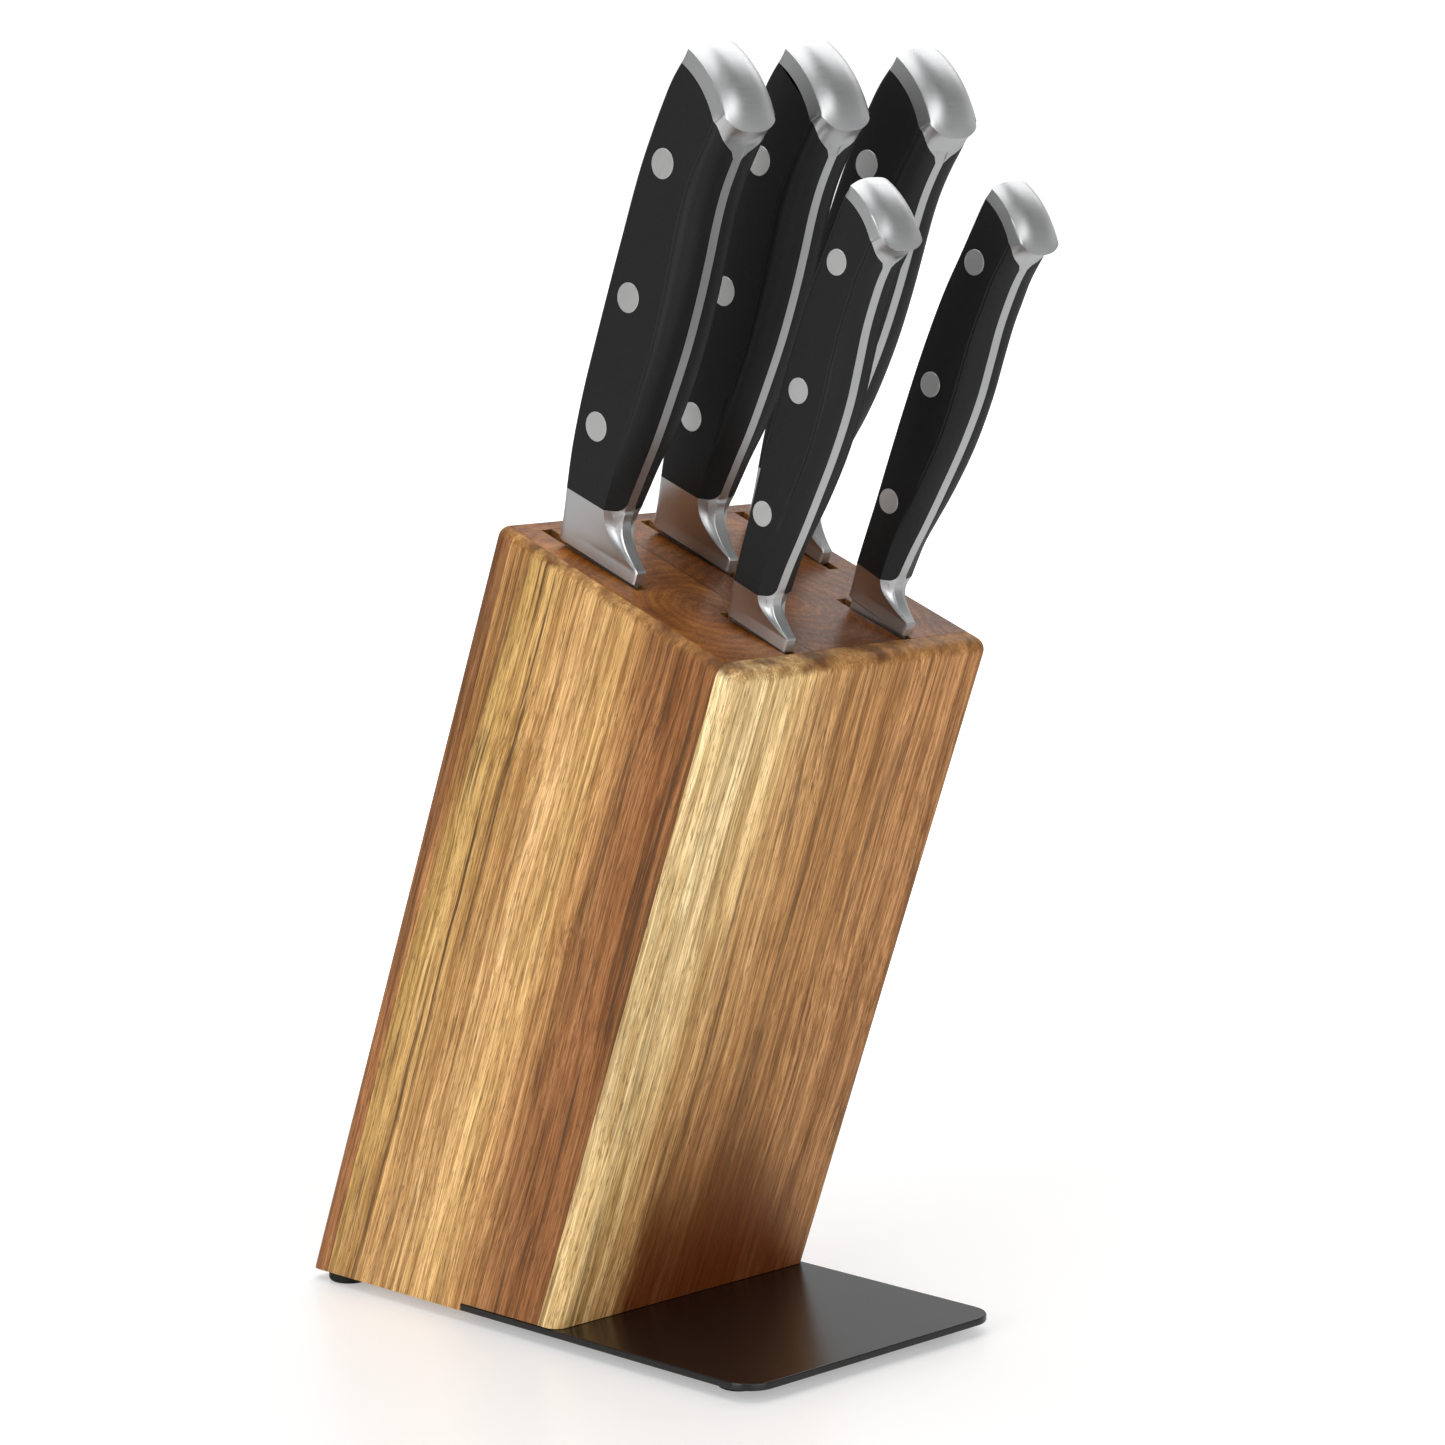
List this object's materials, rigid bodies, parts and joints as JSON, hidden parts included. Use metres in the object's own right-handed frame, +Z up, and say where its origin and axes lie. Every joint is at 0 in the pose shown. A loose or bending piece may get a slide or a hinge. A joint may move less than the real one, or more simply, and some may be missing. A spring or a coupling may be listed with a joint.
{
  "type": "knife block with knives",
  "caption": "Wooden knife block leaning forward on a thin steel foot plate, holding forged kitchen knives with black riveted handles in two rows of slots.",
  "frame": {"origin": "centre of the overall box in plan, on the surface the feet stand on", "axes": "+Z up; -Y is the front, towards which the block leans and the plate reaches; +X is to the right of someone facing the back"},
  "size_m": [0.094, 0.199, 0.3338],
  "materials": {
    "acacia_brown": "oiled",
    "acacia_pale": "oiled",
    "acacia_gold": "oiled",
    "brushed_steel": "brushed",
    "rivet_steel": "satin",
    "black_handle": "matte",
    "black_plate": "satin",
    "black_rubber": "matte"
  },
  "bodies": {
    "block": {"front_board": "acacia_pale", "back_board": "acacia_brown", "plank_1": "acacia_gold", "plank_2": "acacia_brown", "plank_3": "acacia_pale", "plank_4": "acacia_gold", "plank_5": "acacia_brown", "plank_6": "acacia_pale", "spacer_chef": "acacia_gold", "spacer_bread": "acacia_pale", "spacer_carving": "acacia_brown", "spacer_utility": "acacia_brown", "spacer_paring": "acacia_gold", "base_plate": "black_plate", "plate_screw_left": "rivet_steel", "plate_screw_right": "rivet_steel", "foot_back_left": "black_rubber", "foot_back_right": "black_rubber", "foot_front_left": "black_rubber", "foot_front_right": "black_rubber"},
    "chef_knife": {"chef_knife_forged_blade": "brushed_steel", "chef_knife_scale_left": "black_handle", "chef_knife_scale_right": "black_handle", "chef_knife_rivet_lower": "rivet_steel", "chef_knife_rivet_middle": "rivet_steel", "chef_knife_rivet_upper": "rivet_steel"},
    "bread_knife": {"bread_knife_forged_blade": "brushed_steel", "bread_knife_scale_left": "black_handle", "bread_knife_scale_right": "black_handle", "bread_knife_rivet_lower": "rivet_steel", "bread_knife_rivet_middle": "rivet_steel", "bread_knife_rivet_upper": "rivet_steel"},
    "carving_knife": {"carving_knife_forged_blade": "brushed_steel", "carving_knife_scale_left": "black_handle", "carving_knife_scale_right": "black_handle", "carving_knife_rivet_lower": "rivet_steel", "carving_knife_rivet_middle": "rivet_steel", "carving_knife_rivet_upper": "rivet_steel"},
    "utility_knife": {"utility_knife_forged_blade": "brushed_steel", "utility_knife_scale_left": "black_handle", "utility_knife_scale_right": "black_handle", "utility_knife_rivet_lower": "rivet_steel", "utility_knife_rivet_middle": "rivet_steel", "utility_knife_rivet_upper": "rivet_steel"},
    "paring_knife": {"paring_knife_forged_blade": "brushed_steel", "paring_knife_scale_left": "black_handle", "paring_knife_scale_right": "black_handle", "paring_knife_rivet_lower": "rivet_steel", "paring_knife_rivet_middle": "rivet_steel", "paring_knife_rivet_upper": "rivet_steel"}
  },
  "joints": [
    {"name": "chef_knife_draw", "type": "slide", "parent": "block", "child": "chef_knife", "axis": [0, -0.342, 0.9397], "range_m": [0, 0.21]},
    {"name": "bread_knife_draw", "type": "slide", "parent": "block", "child": "bread_knife", "axis": [0, -0.342, 0.9397], "range_m": [0, 0.21]},
    {"name": "carving_knife_draw", "type": "slide", "parent": "block", "child": "carving_knife", "axis": [0, -0.342, 0.9397], "range_m": [0, 0.21]},
    {"name": "utility_knife_draw", "type": "slide", "parent": "block", "child": "utility_knife", "axis": [0, -0.342, 0.9397], "range_m": [0, 0.14]},
    {"name": "paring_knife_draw", "type": "slide", "parent": "block", "child": "paring_knife", "axis": [0, -0.342, 0.9397], "range_m": [0, 0.092]}
  ]
}
